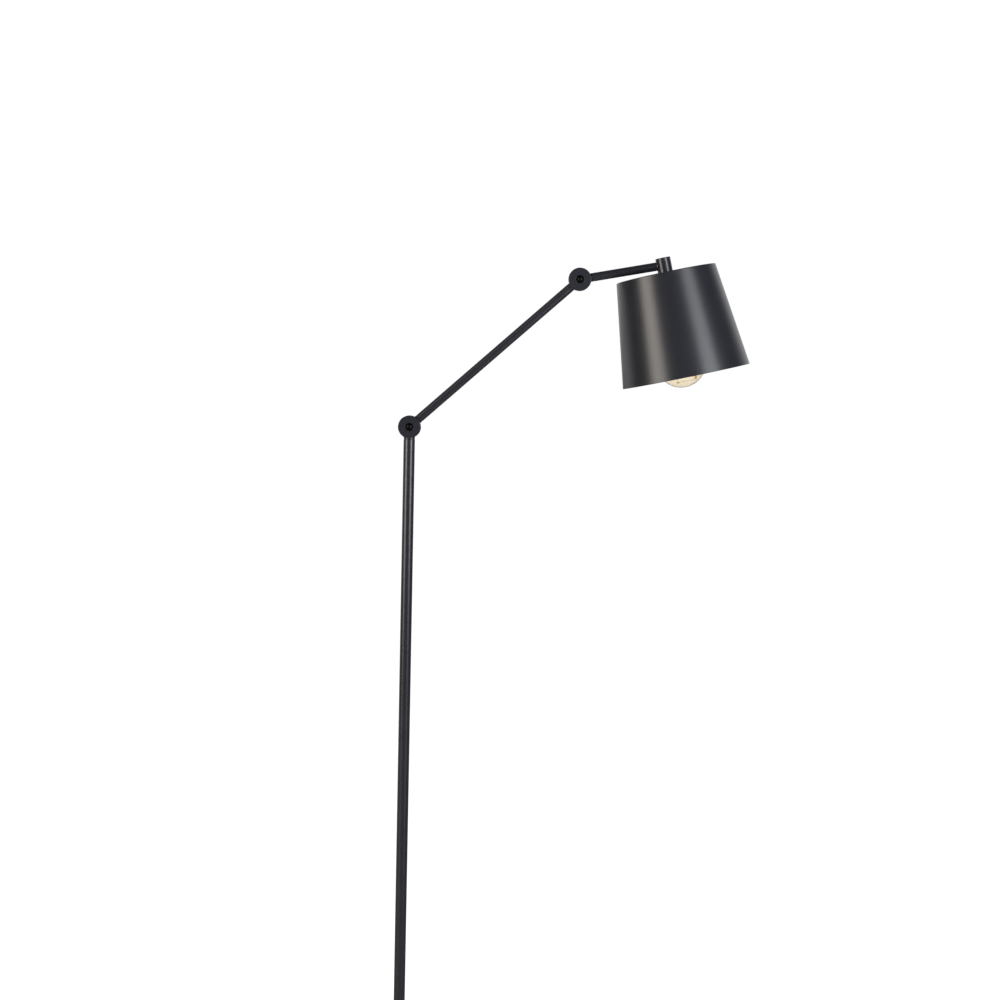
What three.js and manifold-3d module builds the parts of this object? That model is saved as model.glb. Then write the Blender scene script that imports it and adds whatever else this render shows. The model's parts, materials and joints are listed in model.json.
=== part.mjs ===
// Adjustable arm floor lamp. Millimetres, +Z up. The origin is the centre of the foot on the floor,
// and the arms lie in the XZ plane, reaching towards +X. Both knuckles turn about Y.
import * as THREE from "three";
import { mergeVertices } from "three/addons/utils/BufferGeometryUtils.js";
import Module from "manifold-3d";

const wasm = await Module();
wasm.setup();

// ---------------------------------------------------------------- driving dimensions

const GAP = 0.3; // between pieces that touch

// rest pose
const KNUCKLE_1_Z = 1250; // height of the first pivot above the floor
const LOWER_ARM = 314.8; // pivot to pivot
const UPPER_ARM = 119.1; // second pivot to hub axis
const LOWER_ARM_ANGLE = 42; // above the horizontal
const UPPER_ARM_ANGLE = 10.6; // above the horizontal
const HEAD_CANT = 2.2; // hub axis past square to the upper arm
const HOLDER_CANT = 1.5; // lampholder off the hub axis, loose on its nipple

// joint travel, degrees from the rest pose, positive lowers the arm
const KNUCKLE_1_RANGE = [-159, 61];
const KNUCKLE_2_RANGE = [-90, 60];

// foot
const FOOT_R = 130,
  FOOT_H = 18,
  COVER_T = 1.2,
  PAD_R = 122,
  PAD_T = 2.4,
  WEIGHT_R = 125.5,
  WEIGHT_TOP = 16.4,
  RECESS_R = 14,
  RECESS_TOP = 10.6;

// tubes
const POLE_R = 8,
  POLE_WALL = 1.5,
  ARM_R = 6,
  ARM_WALL = 1,
  COUPLER_Z = 936.5,
  COUPLER_BAND = 8.7;

// knuckles
const DISC_R = 16,
  HALF_T = 8, // outer face to the joint plane
  LAND = 0.15, // rim land to the joint plane
  BOSS = 0.6, // centre boss to the joint plane
  POLE_START = 17.4, // pivot to the end of the pole tube
  ARM_START = 18.4, // pivot to the end of an arm tube
  FLANGE_START = 16.6,
  PIVOT_HOLE_R = 2.8,
  POCKET_R = 5.9,
  CHAMBER = [7.2, 11.2, 5.6], // inner radius, outer radius, depth: the lead turns in here
  STOP_R = 13.4,
  STOP_PIN_R = 1;

// threaded tubes and their hardware (M10 x 1)
const NIPPLE_R = 4.8,
  NIPPLE_BORE = 3.2,
  THREAD_HOLE_R = 5.1,
  LEAD_R = 1.5;

// head; s is the distance below the upper arm's axis, measured down the hub axis
const HUB_R = 10.5,
  HUB_TOP = 10.7,
  SHADE_TOP = 11.5,
  SHADE_H = 146,
  SHADE_R_TOP = 70,
  SHADE_R_RIM = 90,
  SHADE_T = 0.8,
  BULB_R = 35,
  BULB_S = 137.5, // globe centre
  BULB_TIP = 49.1; // contact of the screw cap

// ---------------------------------------------------------------- shape helpers

const RAD = Math.PI / 180;

// A closed mesh as a solid, with its faces turned outwards.
function solidOf(geometry) {
  const bare = geometry.index ? geometry.toNonIndexed() : geometry.clone();
  bare.deleteAttribute("normal");
  bare.deleteAttribute("uv");
  const merged = mergeVertices(bare, 1e-4);
  const index = merged.index.array;
  const faces = [];
  for (let i = 0; i < index.length; i += 3) {
    const [a, b, c] = [index[i], index[i + 1], index[i + 2]];
    if (a !== b && b !== c && a !== c) faces.push(a, b, c);
  }
  const make = () =>
    new wasm.Manifold(
      new wasm.Mesh({
        numProp: 3,
        vertProperties: new Float32Array(merged.attributes.position.array),
        triVerts: new Uint32Array(faces),
      }),
    );
  const solid = make();
  if (solid.volume() >= 0) return solid;
  for (let i = 0; i < faces.length; i += 3)
    [faces[i + 1], faces[i + 2]] = [faces[i + 2], faces[i + 1]];
  return make();
}

function geometryOf(solid) {
  const mesh = solid.getMesh();
  const position = new Float32Array(mesh.numVert * 3);
  for (let i = 0; i < mesh.numVert; i++)
    position.set(
      mesh.vertProperties.subarray(i * mesh.numProp, i * mesh.numProp + 3),
      i * 3,
    );
  const geometry = new THREE.BufferGeometry()
    .setAttribute("position", new THREE.BufferAttribute(position, 3))
    .setIndex(new THREE.BufferAttribute(new Uint32Array(mesh.triVerts), 1));
  geometry.computeVertexNormals();
  return geometry;
}

// The first piece joined with the pieces in add, then cut by those in cut.
function combine(first, { add = [], cut = [] }) {
  let solid = solidOf(first);
  for (const piece of add) solid = solid.add(solidOf(piece));
  for (const piece of cut) solid = solid.subtract(solidOf(piece));
  return geometryOf(solid);
}

// A solid of revolution about Z. The profile, [radius, z] points, starts and ends on the axis or closes on itself.
function turned(profile, segments = 32) {
  const onAxis = profile[0][0] === 0 && profile.at(-1)[0] === 0;
  const loop = onAxis ? profile : [...profile, profile[0]];
  return geometryOf(
    solidOf(
      new THREE.LatheGeometry(
        loop.map(([r, z]) => new THREE.Vector2(r, z)),
        segments,
      ).rotateX(Math.PI / 2),
    ),
  );
}

const rod = (r, z0, z1, segments) =>
  turned(
    [
      [0, z0],
      [r, z0],
      [r, z1],
      [0, z1],
    ],
    segments,
  );
const ring = (r0, r1, z0, z1, segments) =>
  turned(
    [
      [r0, z0],
      [r1, z0],
      [r1, z1],
      [r0, z1],
    ],
    segments,
  );
const alongX = (g) => g.rotateY(Math.PI / 2); // Z turns into X
const alongY = (g) => g.rotateX(-Math.PI / 2); // Z turns into Y
const box = (x0, x1, y0, y1, z0, z1) =>
  new THREE.BoxGeometry(x1 - x0, y1 - y0, z1 - z0).translate(
    (x0 + x1) / 2,
    (y0 + y1) / 2,
    (z0 + z1) / 2,
  );
// A hexagonal prism along Z, by its width across flats.
const hex = (flats, z0, z1) =>
  new THREE.CylinderGeometry(flats / Math.sqrt(3), flats / Math.sqrt(3), z1 - z0, 6)
    .rotateX(Math.PI / 2)
    .translate(0, 0, (z0 + z1) / 2);

// A slot bent round the Y axis, from y = 0 to y = depth; angles run from +X towards +Z.
function arcSlot(r0, r1, from, to, depth) {
  const shape = new THREE.Shape();
  shape.absarc(0, 0, r1, from * RAD, to * RAD, false);
  shape.absarc(0, 0, r0, to * RAD, from * RAD, true);
  shape.closePath();
  return new THREE.ExtrudeGeometry(shape, {
    depth,
    bevelEnabled: false,
    curveSegments: 22,
  })
    .rotateX(Math.PI / 2)
    .translate(0, depth, 0);
}

// A round bar between two points.
function bar(r, a, b, segments = 12) {
  const from = new THREE.Vector3(...a),
    to = new THREE.Vector3(...b);
  const g = new THREE.CylinderGeometry(r, r, from.distanceTo(to), segments);
  g.applyQuaternion(
    new THREE.Quaternion().setFromUnitVectors(
      new THREE.Vector3(0, 1, 0),
      to.clone().sub(from).normalize(),
    ),
  );
  return g.translate(
    (from.x + to.x) / 2,
    (from.y + to.y) / 2,
    (from.z + to.z) / 2,
  );
}

// A round cable along a smooth curve through the points.
function cable(r, points, steps) {
  const section = new THREE.Shape().absarc(0, 0, r, 0, 2 * Math.PI);
  return new THREE.ExtrudeGeometry(section, {
    steps,
    curveSegments: 4,
    bevelEnabled: false,
    extrudePath: new THREE.CatmullRomCurve3(
      points.map((p) => new THREE.Vector3(...p)),
      false,
      "centripetal",
    ),
  });
}

// ---------------------------------------------------------------- finishes

const finish = (color, roughness, metalness, more = {}) => ({
  color,
  roughness,
  metalness,
  ...more,
});
const PAINT = finish(0x26272a, 0.42, 0.2);
const STEEL = finish(0x8f9195, 0.35, 0.9);
const BLACK_STEEL = finish(0x1c1c1e, 0.35, 0.7);
const BRASS = finish(0xb08d4a, 0.35, 0.9);
const IRON = finish(0x3b3b3d, 0.8, 0.6);
const FELT = finish(0x1d1d1e, 0.95, 0);
const RUBBER = finish(0x151515, 0.7, 0);
const FIBRE = finish(0x2a2522, 0.8, 0);
const PLASTIC = finish(0x18181a, 0.5, 0);
const CERAMIC = finish(0xe8e4da, 0.4, 0);
const SLEEVE = finish(0x303030, 0.6, 0);
const GLASS = finish(0xf3e3bd, 0.05, 0, { transparent: true, opacity: 0.35 });
const GLOW = finish(0xd9a441, 0.4, 0.1);

function piece(parent, name, geometry, look) {
  const mesh = new THREE.Mesh(geometry, new THREE.MeshStandardMaterial(look));
  mesh.name = name;
  parent.add(mesh);
  return mesh;
}

// ---------------------------------------------------------------- groups

const lamp = new THREE.Group();
const stand = new THREE.Group();
lamp.add(stand);

const knuckle1 = new THREE.Group(); // pivot 1, turned with the pole: +X here points down the pole
knuckle1.position.z = KNUCKLE_1_Z;
knuckle1.rotation.y = 90 * RAD;
stand.add(knuckle1);

const lowerArm = new THREE.Group(); // pivot 1, +X along the lower arm
lowerArm.position.z = KNUCKLE_1_Z;
lowerArm.rotation.y = -LOWER_ARM_ANGLE * RAD;
lamp.add(lowerArm);

const knuckle2 = new THREE.Group(); // pivot 2, +X back down the lower arm
knuckle2.position.x = LOWER_ARM;
knuckle2.rotation.y = Math.PI;
lowerArm.add(knuckle2);

const upperArm = new THREE.Group(); // pivot 2, +X along the upper arm
upperArm.position.x = LOWER_ARM;
upperArm.rotation.y = (LOWER_ARM_ANGLE - UPPER_ARM_ANGLE) * RAD;
lowerArm.add(upperArm);

const head = new THREE.Group(); // hub axis, +Z up the hub
head.position.x = UPPER_ARM;
head.rotation.y = -HEAD_CANT * RAD;
upperArm.add(head);

const HANG = SHADE_TOP + 6.8; // top of the lampholder
const holder = new THREE.Group(); // lampholder and lamp, hung below the shade nut
holder.position.z = -HANG;
holder.rotation.y = HOLDER_CANT * RAD;
head.add(holder);

// ---------------------------------------------------------------- foot

const coverInner = FOOT_R - COVER_T;
piece(
  stand,
  "base_cover",
  combine(
    turned(
      [
        [THREE.MathUtils.lerp(NIPPLE_R, THREAD_HOLE_R, 1.4), FOOT_H - COVER_T],
        [FOOT_R - 5.6, FOOT_H - COVER_T],
        [FOOT_R - 2.4, FOOT_H - COVER_T - 1.9],
        [coverInner, FOOT_H - 6],
        [coverInner, 1],
        [FOOT_R, 1],
        [FOOT_R, FOOT_H - 5],
        [FOOT_R - 0.7, FOOT_H - 2.6],
        [FOOT_R - 2.4, FOOT_H - 0.8],
        [FOOT_R - 5, FOOT_H],
        [THREE.MathUtils.lerp(NIPPLE_R, THREAD_HOLE_R, 1.4), FOOT_H],
      ],
      64,
    ),
    { cut: [alongY(rod(4.1, 100, 140, 14)).translate(0, 0, 7)] },
  ),
  PAINT,
);
piece(stand, "base_pad", rod(PAD_R, 0, PAD_T, 56), FELT);
piece(
  stand,
  "base_weight",
  combine(
    turned(
      [
        [THREAD_HOLE_R + 0.4, RECESS_TOP],
        [RECESS_R, RECESS_TOP],
        [RECESS_R, PAD_T + GAP],
        [WEIGHT_R - 2, PAD_T + GAP],
        [WEIGHT_R, PAD_T + GAP + 2],
        [WEIGHT_R, WEIGHT_TOP - 6],
        [WEIGHT_R - 5, WEIGHT_TOP],
        [THREAD_HOLE_R + 0.4, WEIGHT_TOP],
      ],
      56,
    ),
    {
      // the lead's way from the grommet to the middle
      cut: [box(-4.5, 4.5, 5, 140, PAD_T, 10), box(-6.2, 6.2, 121, 140, PAD_T, 13)],
    },
  ),
  IRON,
);
piece(
  stand,
  "base_gland",
  alongY(
    turned(
      [
        [2.6, FOOT_R - 5.4],
        [5.4, FOOT_R - 5.4],
        [5.4, FOOT_R - COVER_T - 0.5],
        [3.8, FOOT_R - COVER_T - 0.5],
        [3.8, FOOT_R + 0.5],
        [5.4, FOOT_R + 0.5],
        [4.6, FOOT_R + 2.2],
        [2.6, FOOT_R + 2.2],
      ],
      18,
    ),
  ).translate(0, 0, 7),
  RUBBER,
);
piece(
  stand,
  "base_washer",
  ring(THREAD_HOLE_R, 11.5, RECESS_TOP - GAP - 1.2, RECESS_TOP - GAP, 18),
  STEEL,
);
const NUT_TOP = RECESS_TOP - 2 * GAP - 1.2;
piece(
  stand,
  "base_nut",
  combine(hex(14, NUT_TOP - 3, NUT_TOP), {
    cut: [rod(THREAD_HOLE_R, 0, 20, 18)],
  }),
  STEEL,
);
piece(
  stand,
  "base_nipple",
  ring(NIPPLE_BORE, NIPPLE_R, NUT_TOP - 3.8, 34, 18),
  STEEL,
);
const POLE_FOOT_TOP = FOOT_H + GAP + 5;
piece(
  stand,
  "pole_foot",
  turned(
    [
      [THREAD_HOLE_R, FOOT_H + GAP],
      [12, FOOT_H + GAP],
      [12, POLE_FOOT_TOP - 0.8],
      [11.2, POLE_FOOT_TOP],
      [POLE_R - POLE_WALL - GAP, POLE_FOOT_TOP],
      [POLE_R - POLE_WALL - GAP, POLE_FOOT_TOP + 15],
      [THREAD_HOLE_R, POLE_FOOT_TOP + 15],
    ],
    28,
  ),
  PAINT,
);

// ---------------------------------------------------------------- pole

piece(
  stand,
  "lower_pole",
  ring(
    POLE_R - POLE_WALL,
    POLE_R,
    POLE_FOOT_TOP + GAP,
    COUPLER_Z - COUPLER_BAND / 2 - GAP,
    32,
  ),
  PAINT,
);
piece(
  stand,
  "pole_coupler",
  turned(
    [
      [3.5, COUPLER_Z - 22],
      [POLE_R - POLE_WALL - GAP, COUPLER_Z - 22],
      [POLE_R - POLE_WALL - GAP, COUPLER_Z - COUPLER_BAND / 2],
      [POLE_R, COUPLER_Z - COUPLER_BAND / 2],
      [POLE_R, COUPLER_Z + COUPLER_BAND / 2],
      [POLE_R - POLE_WALL - GAP, COUPLER_Z + COUPLER_BAND / 2],
      [POLE_R - POLE_WALL - GAP, COUPLER_Z + 22],
      [3.5, COUPLER_Z + 22],
    ],
    32,
  ),
  PAINT,
);
piece(
  stand,
  "upper_pole",
  ring(
    POLE_R - POLE_WALL,
    POLE_R,
    COUPLER_Z + COUPLER_BAND / 2 + GAP,
    KNUCKLE_1_Z - POLE_START - GAP,
    32,
  ),
  PAINT,
);

// ---------------------------------------------------------------- knuckles

// One half of a knuckle. Its bar leaves along +X and it lies on the +Y side of the joint plane.
// rear: takes the nut and has the stop groove; otherwise it takes the screw head and holds the stop pin.
function knuckleHalf({ barR, wall, start, rear, groove, pin }) {
  const [c0, c1, depth] = CHAMBER;
  const disc = alongY(
    turned(
      [
        [0, LAND],
        [DISC_R, LAND],
        [DISC_R, HALF_T - 0.5],
        [DISC_R - 0.5, HALF_T],
        [0, HALF_T],
      ],
      44,
    ),
  );
  const cut = [
    alongY(rod(PIVOT_HOLE_R, -1, 10, 16)),
    alongY(rod(POCKET_R, rear ? 3 : 3.9, 10, 24)),
    alongY(rod(c1, -1, BOSS, 28)),
    alongY(ring(c0, c1, 0, depth, 28)),
    bar(2.2, [start + 16, -0.15, 0], [8.8, 3.55, 0], 10),
  ];
  if (rear)
    cut.push(
      arcSlot(STOP_R - 1.25, STOP_R + 1.25, groove[0], groove[1], 3.4).translate(
        0,
        -0.1,
        0,
      ),
    );
  else
    cut.push(
      alongY(rod(STOP_PIN_R + GAP, -1, 3.8, 10)).translate(
        STOP_R * Math.cos(pin * RAD),
        0,
        STOP_R * Math.sin(pin * RAD),
      ),
    );
  return combine(disc, {
    add: [
      // Half of the round bar, carried on into the disc as its neck.
      geometryOf(
        solidOf(
          box(0, FLANGE_START + 0.2, LAND, Math.min(HALF_T, barR), -barR, barR),
        ).intersect(solidOf(alongX(rod(barR, -1, FLANGE_START + 0.2, 28)))),
      ),
      alongX(rod(barR, FLANGE_START, start, 28)),
      alongX(rod(barR - wall - GAP, FLANGE_START, start + 14, 20)),
    ],
    cut,
  });
}

// The pivot hardware of one knuckle, in a group whose Y axis is the pivot.
function pivot(parent, n) {
  const head = 2.75,
    seat = -3.9 - GAP; // underside of the head
  piece(
    parent,
    `knuckle_${n}_screw`,
    combine(
      alongY(
        turned(
          [
            [0, seat - head],
            [1.9, seat - head],
            [3.1, seat - head * 0.88],
            [4.1, seat - head * 0.6],
            [4.75, seat - head * 0.2],
            [4.75, seat],
            [2.5, seat],
            [2.5, 7.4],
            [0, 7.4],
          ],
          20,
        ),
      ),
      {
        cut: [
          new THREE.CylinderGeometry(3 / Math.sqrt(3), 3 / Math.sqrt(3), 3.2, 6).translate(
            0,
            seat - head,
            0,
          ),
        ],
      },
    ),
    BLACK_STEEL,
  );
  piece(
    parent,
    `knuckle_${n}_friction_washer`,
    alongY(ring(2.9, 6.9, -0.3, 0.3, 20)),
    FIBRE,
  );
  piece(
    parent,
    `knuckle_${n}_disc_spring`,
    alongY(
      turned(
        [
          [2.8, 3.7],
          [5, 3.3],
          [5, 3.7],
          [2.8, 4.1],
        ],
        20,
      ),
    ),
    STEEL,
  );
  piece(
    parent,
    `knuckle_${n}_nut`,
    alongY(
      combine(hex(8, 4.4, 7.9), { cut: [rod(PIVOT_HOLE_R, 0, 10, 16)] }),
    ),
    BLACK_STEEL,
  );
}

// The stop pin stands in the front half at the given angle, in the half's own frame.
const stopPin = (parent, n, angle) =>
  piece(
    parent,
    `knuckle_${n}_stop_pin`,
    alongY(rod(STOP_PIN_R, -3.4, 2.8, 10)).translate(
      STOP_R * Math.cos(angle * RAD),
      0,
      STOP_R * Math.sin(angle * RAD),
    ),
    STEEL,
  );

const toFront = (g) => g.scale(1, -1, 1); // to the -Y side; solidOf turns the faces back

const PIN_1_WORLD = 310,
  PIN_2_WORLD = 180,
  GROOVE_MARGIN = 6.2; // pin and groove end radii, and half a degree

// knuckle 1: front half on the pole, rear half on the lower arm
// In a group turned by b about Y, a world angle a is a + b.
const pin1 = PIN_1_WORLD + 90;
piece(
  knuckle1,
  "knuckle_1_pole_half",
  geometryOf(
    solidOf(
      toFront(
        knuckleHalf({
          barR: POLE_R,
          wall: POLE_WALL,
          start: POLE_START,
          rear: false,
          pin: pin1,
        }),
      ),
    ),
  ),
  PAINT,
);
stopPin(knuckle1, 1, pin1);
const pin1InArm = PIN_1_WORLD - LOWER_ARM_ANGLE;
piece(
  lowerArm,
  "knuckle_1_arm_half",
  knuckleHalf({
    barR: ARM_R,
    wall: ARM_WALL,
    start: ARM_START,
    rear: true,
    groove: [
      pin1InArm + KNUCKLE_1_RANGE[0] - GROOVE_MARGIN,
      pin1InArm + KNUCKLE_1_RANGE[1] + GROOVE_MARGIN,
    ],
  }),
  PAINT,
);
pivot(lowerArm, 1);

// knuckle 2: front half on the lower arm, rear half on the upper arm
const pin2 = PIN_2_WORLD - (LOWER_ARM_ANGLE + 180);
piece(
  knuckle2,
  "knuckle_2_lower_half",
  geometryOf(
    solidOf(
      toFront(
        knuckleHalf({
          barR: ARM_R,
          wall: ARM_WALL,
          start: ARM_START,
          rear: false,
          pin: pin2,
        }),
      ),
    ),
  ),
  PAINT,
);
stopPin(knuckle2, 2, pin2);
const pin2InArm = PIN_2_WORLD - UPPER_ARM_ANGLE;
piece(
  upperArm,
  "knuckle_2_upper_half",
  knuckleHalf({
    barR: ARM_R,
    wall: ARM_WALL,
    start: ARM_START,
    rear: true,
    groove: [
      pin2InArm + KNUCKLE_2_RANGE[0] - GROOVE_MARGIN,
      pin2InArm + KNUCKLE_2_RANGE[1] + GROOVE_MARGIN,
    ],
  }),
  PAINT,
);
pivot(upperArm, 2);

// ---------------------------------------------------------------- arms

piece(
  lowerArm,
  "lower_arm_tube",
  alongX(
    ring(
      ARM_R - ARM_WALL,
      ARM_R,
      ARM_START + GAP,
      LOWER_ARM - ARM_START - GAP,
      28,
    ),
  ),
  PAINT,
);
const PLUG_X = UPPER_ARM - 10.6; // outer face of the end plug's collar
piece(
  upperArm,
  "upper_arm_tube",
  alongX(ring(ARM_R - ARM_WALL, ARM_R, ARM_START + GAP, PLUG_X - GAP, 28)),
  PAINT,
);
piece(
  upperArm,
  "upper_arm_end_plug",
  alongX(
    turned(
      [
        [2.3, PLUG_X - 13],
        [ARM_R - ARM_WALL - GAP, PLUG_X - 13],
        [ARM_R - ARM_WALL - GAP, PLUG_X],
        [6.3, PLUG_X],
        [6.6, PLUG_X + 0.5],
        [6.6, UPPER_ARM - 9.4],
        [3.9, UPPER_ARM - 9.4],
        [3.9, UPPER_ARM - 6.3],
        [2.3, UPPER_ARM - 6.3],
      ],
      24,
    ),
  ),
  PAINT,
);

// ---------------------------------------------------------------- internal lead, one run per moving piece

// It leaves each tube off centre, through the slanted hole into the knuckle's ring chamber.
const leadEnd = (side) => [
  [9.6, side * 3.45, 0],
  [20, side * 1.9, 0],
  [29, side * 0.5, 0],
  [36, 0, 0],
  [46, 0, 0],
  [52, 0, 0],
];
piece(
  knuckle1,
  "stand_lead",
  combine(cable(LEAD_R, leadEnd(-1), 9), {
    add: [bar(LEAD_R, [50, 0, 0], [KNUCKLE_1_Z - 8, 0, 0], 8)],
  }),
  SLEEVE,
);
piece(
  lowerArm,
  "lower_arm_lead",
  combine(cable(LEAD_R, leadEnd(1), 9), {
    add: [
      bar(LEAD_R, [50, 0, 0], [LOWER_ARM - 50, 0, 0], 8),
      cable(
        LEAD_R,
        leadEnd(-1).map(([x, y, z]) => [LOWER_ARM - x, y, z]),
        9,
      ),
    ],
  }),
  SLEEVE,
);
const down = (s, off = 0) => [
  UPPER_ARM + s * Math.sin(HEAD_CANT * RAD) + off,
  0,
  -s * Math.cos(HEAD_CANT * RAD),
];
piece(
  upperArm,
  "upper_arm_lead",
  combine(cable(LEAD_R, leadEnd(1), 9), {
    add: [
      bar(LEAD_R, [50, 0, 0], [UPPER_ARM - 18, 0, 0], 8),
      cable(
        LEAD_R,
        [
          [UPPER_ARM - 20, 0, 0],
          [UPPER_ARM - 12, 0, 0],
          [UPPER_ARM - 6.6, 0, -0.1],
          [UPPER_ARM - 3.6, 0, -0.9],
          [UPPER_ARM - 1.3, 0, -3],
          down(6.4, -0.3),
          down(12),
          down(20),
          down(34),
        ],
        20,
      ),
    ],
  }),
  SLEEVE,
);

// ---------------------------------------------------------------- hub and shade

piece(
  head,
  "head_hub",
  combine(
    turned(
      [
        [0, HUB_TOP],
        [HUB_R - 0.6, HUB_TOP],
        [HUB_R, HUB_TOP - 0.6],
        [HUB_R, -SHADE_TOP + GAP],
        [THREAD_HOLE_R, -SHADE_TOP + GAP],
        [THREAD_HOLE_R, -4],
        [6.2, -4],
        [6.2, 7],
        [0, 7],
      ],
      32,
    ),
    {
      cut: [
        alongX(rod(7, -20, -9, 24)).rotateY(HEAD_CANT * RAD),
        alongX(rod(4.3, -20, -5, 16)).rotateY(HEAD_CANT * RAD),
      ],
    },
  ),
  PAINT,
);
piece(
  head,
  "head_nipple",
  ring(NIPPLE_BORE, NIPPLE_R, -HANG - 4.6, -4.6, 18),
  STEEL,
);
const shadeSlope = (SHADE_R_RIM - SHADE_R_TOP) / SHADE_H;
const shadeSide = Math.hypot(1, shadeSlope) * SHADE_T; // wall measured level
const rim = -SHADE_TOP - SHADE_H;
piece(
  head,
  "shade",
  turned(
    [
      [THREAD_HOLE_R + 0.2, -SHADE_TOP],
      [SHADE_R_TOP - 1.5, -SHADE_TOP],
      [SHADE_R_TOP - 0.5, -SHADE_TOP - 0.4],
      [SHADE_R_TOP + 1.5 * shadeSlope, -SHADE_TOP - 1.5],
      [SHADE_R_RIM, rim],
      [SHADE_R_RIM - shadeSide, rim],
      [SHADE_R_TOP + 1.9 * shadeSlope - shadeSide, -SHADE_TOP - 1.9],
      [SHADE_R_TOP - 1.6, -SHADE_TOP - SHADE_T],
      [THREAD_HOLE_R + 0.2, -SHADE_TOP - SHADE_T],
    ],
    72,
  ),
  PAINT,
);
const underTop = -SHADE_TOP - SHADE_T - GAP;
piece(
  head,
  "shade_washer",
  ring(THREAD_HOLE_R, 11, underTop - 1.2, underTop, 18),
  STEEL,
);
piece(
  head,
  "shade_nut",
  combine(hex(14, underTop - 1.5 - 3, underTop - 1.5), {
    cut: [rod(THREAD_HOLE_R, -40, 0, 18)],
  }),
  STEEL,
);

// ---------------------------------------------------------------- lampholder and lamp
// heights here are measured from the top of the lampholder, downwards negative

const at = (s) => -(s - HANG); // from a distance below the arm's axis
piece(
  holder,
  "holder_cap",
  turned(
    [
      [5.3, 0],
      [7.6, 0],
      [7.6, -5],
      [12, -7.4],
      [17, -10.6],
      [19.2, -14],
      [19.6, -17],
      [19.6, -21.6],
      [17.8, -21.6],
      [17.8, -17],
      [15.6, -12.2],
      [10.6, -8.8],
      [5.3, -6.8],
    ],
    28,
  ),
  PLASTIC,
);
piece(
  holder,
  "holder_insert",
  combine(rod(16.8, -29, -22.6, 24), {
    cut: [
      rod(2, -40, -10, 12).translate(8, 0, 0),
      rod(2, -40, -10, 12).translate(-8, 0, 0),
    ],
  }),
  CERAMIC,
);
piece(
  holder,
  "holder_contact",
  turned(
    [
      [0, -29.3],
      [4, -29.3],
      [3.4, at(BULB_TIP) + 0.4],
      [0, at(BULB_TIP) + 0.4],
    ],
    16,
  ),
  BRASS,
);
piece(holder, "holder_shell", ring(13.8, 14.3, -54, -29.3, 24), BRASS);
piece(
  holder,
  "holder_body",
  turned(
    [
      [17.2, -21.9],
      [19.6, -21.9],
      [19.6, -34],
      [18.6, -57.6],
      [16.4, -57.6],
      [17.2, -34],
    ],
    28,
  ),
  PLASTIC,
);
piece(
  holder,
  "bulb_cap",
  turned(
    [
      [0, at(BULB_TIP)],
      [4.4, at(BULB_TIP)],
      [4.8, at(BULB_TIP + 1.4)],
      [9.6, at(BULB_TIP + 3)],
      [12.4, at(BULB_TIP + 5.4)],
      [13.2, at(BULB_TIP + 7)],
      [13.2, at(76)],
      [12.8, at(76)],
      [12.8, at(60)],
      [0, at(60)],
    ],
    24,
  ),
  BRASS,
);

// The glass: a neck inside the screw cap, swelling to a globe.
const GLASS_T = 0.9;
function glassProfile(inset) {
  const R = BULB_R - inset;
  const points = [
    [12.4 - inset, 63],
    [12.4 - inset, 76.5],
    [13.6 - inset, 81],
    [22 - inset, 99],
  ];
  for (let a = -38; a <= 90; a += 16)
    points.push([
      a === 90 ? 0 : R * Math.cos(a * RAD),
      BULB_S + R * Math.sin(a * RAD),
    ]);
  return points;
}
piece(
  holder,
  "bulb_glass",
  turned(
    [
      ...glassProfile(0).reverse(),
      ...glassProfile(GLASS_T),
    ].map(([r, s]) => [Math.max(r, 0), at(s)]),
    32,
  ),
  GLASS,
);
{
  const stem = turned(
    [
      [0, at(64)],
      [9, at(64)],
      [8.6, at(67)],
      [4, at(76)],
      [2.4, at(84)],
      [2.4, at(108)],
      [0.7, at(109)],
      [0.7, at(165)],
      [0, at(165)],
    ],
    10,
  );
  // four columns zigzag between two upper wires and two lower ones
  const cage = [];
  const upper = (y) => [0, 9 * y, at(112)],
    lower = (x) => (x > 0 ? [16.4, 0, at(162.6)] : [-9.2, 0, at(164.3)]);
  for (const y of [-1, 1])
    cage.push(bar(0.5, [0, 0, at(107)], [0, 9.2 * y, at(111.4)], 4));
  for (const x of [-1, 1]) {
    cage.push(bar(0.5, [0, 0, at(164)], lower(x), 4));
    for (const y of [-1, 1]) cage.push(bar(1.3, upper(y), lower(x), 6));
  }
  piece(holder, "bulb_filament", combine(stem, { add: cage }), GLOW);
}

export default lamp;
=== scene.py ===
"""Looks of the adjustable arm floor lamp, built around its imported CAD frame."""

import json
import math

import bmesh
import bpy
import numpy as np
from mathutils import Matrix, Vector


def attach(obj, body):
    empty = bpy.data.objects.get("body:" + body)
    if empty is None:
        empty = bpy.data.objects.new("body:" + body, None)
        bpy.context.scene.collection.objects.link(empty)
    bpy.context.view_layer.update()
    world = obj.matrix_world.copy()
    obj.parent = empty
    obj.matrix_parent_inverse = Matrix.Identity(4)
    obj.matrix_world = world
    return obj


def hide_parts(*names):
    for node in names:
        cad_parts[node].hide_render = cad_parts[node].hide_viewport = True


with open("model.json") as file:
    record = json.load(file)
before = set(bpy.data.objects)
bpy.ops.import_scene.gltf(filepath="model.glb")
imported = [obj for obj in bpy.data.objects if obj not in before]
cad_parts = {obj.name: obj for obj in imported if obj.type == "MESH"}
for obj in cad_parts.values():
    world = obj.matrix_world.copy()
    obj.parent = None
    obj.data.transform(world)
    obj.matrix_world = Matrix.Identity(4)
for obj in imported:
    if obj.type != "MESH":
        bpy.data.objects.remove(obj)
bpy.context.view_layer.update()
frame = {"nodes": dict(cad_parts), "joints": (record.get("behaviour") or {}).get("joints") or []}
scene = bpy.context.scene
MM = 0.001

# ---------------------------------------------------------------- places, in millimetres, from the frame

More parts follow.
